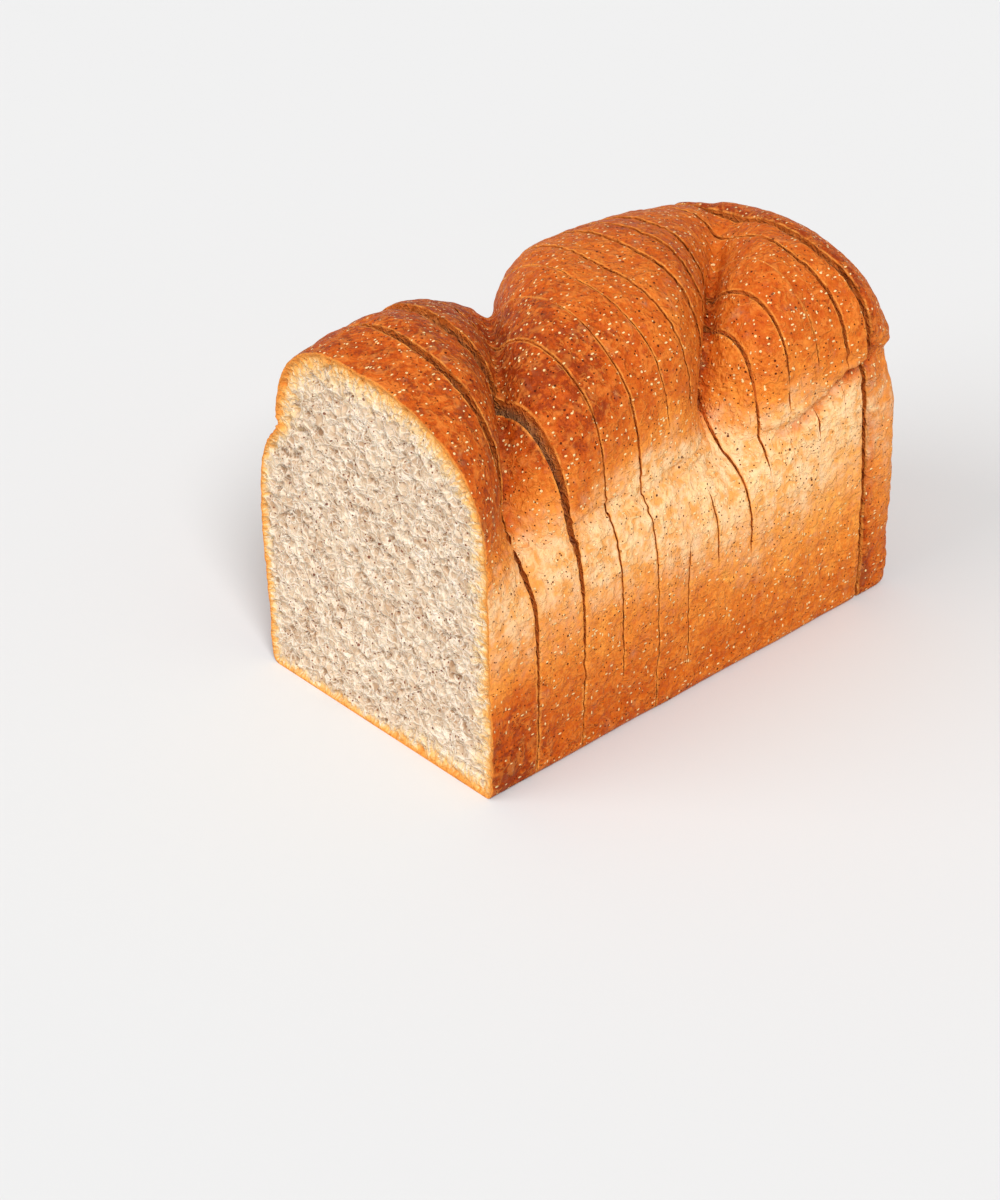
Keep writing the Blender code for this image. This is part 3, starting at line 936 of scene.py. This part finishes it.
def crust_material():
    """Baked crust: pale to dark brown by how much it is baked and by painted shade in the creases and seam,
    with flecks, bran, fine wrinkles, lighter curls that are partly painted highlight, and a gloss tinted
    warmer towards the foot as painted reflection.
    """
    s = Shade("baked_crust")
    brown, pale = s.painted("brown"), s.painted("pale")
    patch = s.swing(0.011, 3.0)
    blotch = s.swing(0.0046, 3.0)
    grain = s.swing(0.0013, 3.0, 0.65)
    shade = s.total((brown, 0.94), (patch, 0.42), (blotch, 0.58), (grain, 0.58))
    tones = [(position, linear(*tone)) for position, tone in CRUST_TONES]
    base = s.ramp(s.math("ADD", shade, 0.065, clamp=True), tones)
    # pale patches that fade out raggedly
    streak = s.swing(0.0050, 2.0, 0.6, s.stretched((1.0, 1.6, 0.55), (0.6, 0.0, 0.0)))
    light = s.total((pale, 1.0), (patch, 0.80), (blotch, 0.60), (streak, 0.60), (grain, 0.25))
    light = s.range(light, 0.02, 1.15)
    clouds = s.range(s.noise(0.0052, 3.0, 0.6).outputs["Fac"], 0.35, 0.65)
    cream = s.mix(clouds, CREAM_DARK, CREAM_LIGHT)
    base = s.mix(light, base, cream)
    # lighter curly strokes, partly painted highlight on the raised curls, stronger on the pale patches
    curls = s.math("MAXIMUM", s.curls(0.0048, 0.120, 0.46), s.curls(0.0031, 0.110, 0.49))
    curl_and_highlight_colour = s.mix(light, CURL_AND_HIGHLIGHT_ON_BROWN, CURL_AND_HIGHLIGHT_ON_CREAM)
    base = s.mix(s.math("MULTIPLY", curls, s.range(light, 0.0, 1.0, 0.38, 0.66)), base, curl_and_highlight_colour)
    long_way = s.stretched((1.0, 0.5, 1.0), (0.5, 0.3, 0.0))
    tall_way = s.stretched((1.0, 1.0, 0.45), (0.0, 0.4, 0.7))
    lying = s.specks(0.0024, 0.00040, 0.85, long_way)
    standing = s.specks(0.0024, 0.00036, 0.75, tall_way)
    flecks = s.math("MAXIMUM", s.math("MAXIMUM", lying, standing), s.specks(0.0030, 0.00055, 0.45))
    base = s.mix(s.math("MULTIPLY", flecks, 0.85), base, FLECK)
    turned = s.stretched((1.0, 1.0, 1.0), (0.9, 0.2, 0.4))
    bran = s.math("MAXIMUM", s.specks(0.0019, 0.00032, 0.80, turned), s.specks(0.0040, 0.00050, 0.5))
    base = s.mix(s.math("MULTIPLY", bran, 0.95), base, BRAN)
    # lighter torn line along each gaping cut
    line = s.range(s.painted("edge"), 0.15, 0.70, 1.0, 0.0)
    line = s.math("MULTIPLY", line, s.range(s.noise(0.005, 2.0).outputs["Fac"], 0.34, 0.56))
    base = s.mix(s.math("MULTIPLY", line, 0.55), base, TORN_LINE)
    s.feed(s.shader.inputs["Base Color"], base)
    s.feed(s.shader.inputs["Roughness"], s.range(s.noise(0.004, 3.0).outputs["Fac"], 0.3, 0.7, 0.48, 0.68))
    s.shader.inputs["Specular IOR Level"].default_value = 0.14
    # gloss tinted warmer towards the foot: painted warm reflection from below
    separate = s.add("ShaderNodeSeparateXYZ")
    s.feed(separate.inputs[0], s.place)
    gloss_and_painted_reflection = s.mix(s.range(separate.outputs[2], 0.0, 0.060), WARM_REFLECTION_TINT_FOOT, GLOSS_TINT_TOP)
    s.feed(s.shader.inputs["Specular Tint"], gloss_and_painted_reflection)
    swell = s.noise(0.0062, 2.0).outputs["Fac"]
    fold = s.noise(0.0024, 3.0, 0.6).outputs["Fac"]
    height = s.total((swell, 1.0), (fold, 0.85), (grain, 0.26), (curls, 0.21), (flecks, 0.16), (bran, -0.20))
    s.feed(s.shader.inputs["Normal"], s.bump(height, 0.95, 0.0015))
    return s.material


def crumb_material():
    """Cream porous crumb with a fibrous web, bran specks and a golden rim under the crust, with painted shade
    in its cells and pores and on the faces inside the cuts.
    """
    s = Shade("porous_crumb")
    below, pore, inner = s.painted("below"), s.painted("pore"), s.painted("inner")
    moved = s.warped(0.0050, 0.0056)
    web = s.cells(0.0056, "DISTANCE_TO_EDGE", moved).outputs["Distance"]
    small_web = s.cells(0.0031, "DISTANCE_TO_EDGE", moved).outputs["Distance"]
    wall = s.range(web, 0.0, 0.13, 1.0, 0.0)
    small_wall = s.range(small_web, 0.0, 0.15, 1.0, 0.0)
    fibres = s.math("MAXIMUM", s.curls(0.0062, 0.046, 0.42), s.curls(0.0038, 0.052, 0.46))
    cloud = s.noise(0.009, 3.0, 0.6).outputs["Fac"]
    # darker cells under lighter walls: partly the crumb's own tone, partly painted shade in the cells
    base = s.mix(s.range(cloud, 0.30, 0.70), CELL_TONE_AND_SHADE_DARK, CELL_TONE_AND_SHADE_LIGHT)
    # painted shade in the pores and hollows, darker where deeper
    base = s.mix(s.range(pore, 0.05, 1.0, 0.0, 0.74), base, PORE_SHADE)
    base = s.mix(s.math("MULTIPLY", wall, 0.72), base, WEB)
    base = s.mix(s.math("MULTIPLY", small_wall, 0.45), base, SMALL_WEB)
    base = s.mix(s.math("MULTIPLY", fibres, 0.66), base, FIBRE)
    turned = s.stretched((1.0, 1.0, 1.0), (0.4, 0.9, 0.2))
    dark = s.math("MAXIMUM", s.specks(0.0021, 0.00042, 0.80), s.specks(0.0050, 0.00066, 0.55, turned))
    base = s.mix(s.math("MULTIPLY", dark, 0.90), base, SPECK)
    # golden rim with fibres that run in from the crust
    join = s.add("ShaderNodeCombineXYZ")
    s.feed(join.inputs[0], s.painted("round"))
    s.feed(join.inputs[1], s.math("MULTIPLY", below, 0.22))
    streaks = s.noise(1.3, 2.0, 0.6, join.outputs[0]).outputs["Fac"]
    separate = s.add("ShaderNodeSeparateXYZ")
    s.feed(separate.inputs[0], s.place)
    right_side = s.range(separate.outputs[0], -0.01, 0.03)
    wide = s.range(separate.outputs[2], 0.085, 0.122, 0.0, 1.0)
    wide = s.math("MAXIMUM", wide, s.math("MULTIPLY", right_side, 0.60))
    wide = s.math("ADD", s.math("MULTIPLY", wide, 1.05), 0.50)
    depth = s.math("DIVIDE", below, s.math("MULTIPLY", wide, s.range(streaks, 0.30, 0.70, 0.45, 1.6)))
    base = s.mix(s.range(depth, 2.4, 8.5, 0.70, 0.0), base, RIM_INNER)
    base = s.mix(s.range(depth, 1.2, 5.2, 0.90, 0.0), base, RIM_GOLDEN)
    base = s.mix(s.range(depth, 0.3, 2.0, 0.85, 0.0), base, RIM_OUTER)
    # painted shade on the faces inside the cuts: dark brown near the crust, duller deeper in, with lighter
    # fibres
    gap_shade = s.mix(s.range(below, 0.6, 9.0), GAP_SHADE_OUTER, GAP_SHADE_INNER)
    gap_shade = s.mix(s.math("MULTIPLY", fibres, 0.30), gap_shade, GAP_SHADE_FIBRE)
    base = s.mix(s.math("MULTIPLY", inner, 0.9), base, gap_shade)
    s.feed(s.shader.inputs["Base Color"], base)
    s.shader.inputs["Roughness"].default_value = 0.75
    s.shader.inputs["Specular IOR Level"].default_value = 0.2
    s.shader.inputs["Subsurface Weight"].default_value = 0.10
    s.shader.inputs["Subsurface Radius"].default_value = (1.0, 0.55, 0.3)
    s.shader.inputs["Subsurface Scale"].default_value = 0.0010
    grain = s.noise(0.0012, 3.0, 0.65).outputs["Fac"]
    height = s.total((wall, 1.0), (small_wall, 0.45), (fibres, 0.8), (grain, 0.10), (streaks, 0.2))
    s.feed(s.shader.inputs["Normal"], s.bump(height, 0.55, 0.0009))
    return s.material


def floor_material():
    """Plain pale studio floor, with a faint unevenness."""
    s = Shade("pale_floor")
    grain = s.noise(0.4, 2.0).outputs["Fac"]
    darker, lighter = [(tone, tone, tone, 1.0) for tone in FLOOR_TONES]
    s.feed(s.shader.inputs["Base Color"], s.mix(grain, darker, lighter))
    s.shader.inputs["Roughness"].default_value = 0.9
    s.shader.inputs["Specular IOR Level"].default_value = 0.1
    return s.material


def make_slices():
    """All slices, each in place of its solid."""
    materials = [crust_material(), crumb_material()]
    limits = slice_limits()
    draw = np.random.default_rng(SHIFT_SEED)
    placed = [(draw.uniform(-SHIFT_X, SHIFT_X), 1 + draw.uniform(-SHIFT_Z, SHIFT_Z)) for _ in limits]
    draw = np.random.default_rng(PORE_SEED)
    for number in range(len(limits)):
        last = number == len(limits) - 1
        piece = make_slice(number, placed, limits, draw, materials)
        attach(piece, "root")
        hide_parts("heel_slice" if last else f"slice_{number + 1:02d}")


def make_camera():
    """The photograph's view of the loaf."""
    data = bpy.data.cameras.new("camera")
    data.lens = LENS
    data.sensor_width = SENSOR
    camera = bpy.data.objects.new("camera", data)
    forward = Vector(CAMERA_LOOKS).normalized()
    right = forward.cross(Vector(CAMERA_UP)).normalized()
    matrix = Matrix((right, right.cross(forward), -forward)).transposed().to_4x4()
    matrix.translation = Vector(CAMERA_PLACE)
    camera.matrix_world = matrix
    bpy.context.scene.collection.objects.link(camera)
    bpy.context.scene.camera = camera


def sun(name, towards, strength, softness):
    """A soft far light that shines from one direction, its softness in degrees."""
    data = bpy.data.lights.new(name, "SUN")
    data.energy = strength
    data.angle = np.radians(softness)
    light = bpy.data.objects.new(name, data)
    light.rotation_euler = Vector(towards).to_track_quat("Z", "Y").to_euler()
    bpy.context.scene.collection.objects.link(light)


def make_studio():
    """Pale floor and soft light from the front right and above, with a weaker fill from the left."""
    bpy.ops.mesh.primitive_plane_add(size=FLOOR_SIZE, location=(0, 0, 0))
    floor = bpy.context.object
    floor.name = "floor"
    floor.data.materials.append(floor_material())
    sun("key", *KEY_LIGHT)
    sun("fill", *FILL_LIGHT)
    world = bpy.data.worlds.new("studio")
    world.use_nodes = True
    background = world.node_tree.nodes["Background"]
    background.inputs[0].default_value = (1.0, 1.0, 1.0, 1.0)
    background.inputs[1].default_value = WORLD_STRENGTH
    bpy.context.scene.world = world
    bpy.context.scene.view_settings.view_transform = "Standard"


make_camera()
make_slices()
make_studio()
